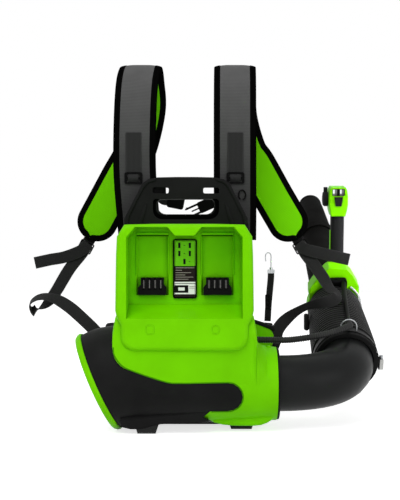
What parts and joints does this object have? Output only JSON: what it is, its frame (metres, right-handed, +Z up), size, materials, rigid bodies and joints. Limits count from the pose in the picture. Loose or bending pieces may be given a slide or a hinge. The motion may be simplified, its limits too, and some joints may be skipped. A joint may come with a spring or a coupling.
{
  "type": "backpack leaf blower",
  "caption": "Cordless backpack leaf blower with a battery housing, axial fan, padded harness, elbow, ribbed hose and hand-held wand with a tapered nozzle.",
  "frame": {"origin": "on the ground, under the middle of the back plate's battery-side face, on the underside of the base", "axes": "+X to the outlet side, +Y from the battery side towards the wearer and along the wand, +Z up"},
  "size_m": [0.7247, 1.1128, 0.7221],
  "materials": {
    "aluminium": "satin",
    "black_plastic": "satin",
    "grey_plastic": "satin",
    "hose_rubber": "matt",
    "lime_plastic": "gloss",
    "padding": "woven mesh",
    "steel": "satin",
    "webbing": "woven"
  },
  "bodies": {
    "main": {"back_pad": "padding", "back_plate": "black_plastic", "band_clamp": "steel", "band_screw": "steel", "base_frame": "black_plastic", "buckle_plug": "black_plastic", "buckle_socket": "black_plastic", "chest_web_left": "webbing", "chest_web_right": "webbing", "conduit": "black_plastic", "conduit_ring": "steel", "controller_heat_sink": "aluminium", "fan_duct": "black_plastic", "flex_hose": "hose_rubber", "handle_cable": "black_plastic", "hip_pad": "padding", "hook_buckle": "black_plastic", "hook_eye": "steel", "hook_strap": "webbing", "hose_cuff": "black_plastic", "intake_grille": "black_plastic", "intake_trim": "lime_plastic", "ladder_lock_left": "black_plastic", "ladder_lock_right": "black_plastic", "lifter_web_left": "webbing", "lifter_web_right": "webbing", "lower_shell": "black_plastic", "main_housing": "lime_plastic", "motor_case": "steel", "outlet_elbow": "black_plastic", "outlet_flange": "black_plastic", "shoulder_strap_left": "padding", "shoulder_strap_right": "padding", "stator": "black_plastic", "strap_ring": "black_plastic", "tail_cone": "black_plastic", "terminal_blades_left": "steel", "terminal_blades_right": "steel", "terminal_block_left": "black_plastic", "terminal_block_right": "black_plastic", "triglide_left": "black_plastic", "triglide_right": "black_plastic", "web_left": "webbing", "web_right": "webbing", "web_tail_left": "webbing", "web_tail_right": "webbing"},
    "wand": {"swivel_clamp": "lime_plastic", "wand_tube": "black_plastic"},
    "nozzle": {"nozzle": "black_plastic", "locking_collar": "black_plastic"},
    "handle": {"handle_grip": "grey_plastic", "handle_head": "lime_plastic", "window_insert": "grey_plastic", "pivot_bolt": "steel"},
    "trigger": {"trigger": "grey_plastic"},
    "cruise_lever": {"cruise_lever": "grey_plastic"},
    "boost_button": {"boost_button": "grey_plastic"},
    "fan": {"impeller": "grey_plastic", "motor_rotor": "steel"},
    "hook": {"tool_hook": "steel"}
  },
  "joints": [
    {"name": "hose_swing", "type": "hinge", "parent": "main", "child": "wand", "pos_m": [0.3225, 0.1216, 0.1669], "axis": [0, 0, 1], "range_deg": [-25, 25], "deforming": ["flex_hose", "handle_cable"]},
    {"name": "nozzle_twist", "type": "hinge", "parent": "wand", "child": "nozzle", "pos_m": [0.33386, 0.48318, 0.30577], "axis": [0.0293, 0.9331, 0.3584], "range_deg": [0, 30]},
    {"name": "handle_tilt", "type": "hinge", "parent": "wand", "child": "handle", "pos_m": [0.33651, 0.26492, 0.32275], "axis": [0.9995, -0.0314, 0], "range_deg": [-15, 15]},
    {"name": "trigger_pull", "type": "hinge", "parent": "handle", "child": "trigger", "pos_m": [0.33657, 0.26682, 0.40986], "axis": [-0.9995, 0.0314, 0], "range_deg": [0, 14], "stiffness_Nm_per_rad": 0.3, "springref_deg": -11.46},
    {"name": "cruise_turn", "type": "hinge", "parent": "handle", "child": "cruise_lever", "pos_m": [0.3144, 0.24908, 0.45473], "axis": [0.9995, -0.0314, 0], "range_deg": [0, 60]},
    {"name": "boost_press", "type": "slide", "parent": "handle", "child": "boost_button", "axis": [0.0311, 0.9898, 0.1392], "range_m": [0, 0.003], "stiffness_N_per_m": 400, "springref_m": -0.002},
    {"name": "fan_spin", "type": "hinge", "parent": "main", "child": "fan", "pos_m": [0, -0.095, 0.0865], "axis": [1, 0, 0], "continuous": true},
    {"name": "hook_swivel", "type": "hinge", "parent": "main", "child": "hook", "pos_m": [0.1743, 0.0655, 0.3035], "axis": [0, 0, 1], "continuous": true}
  ]
}
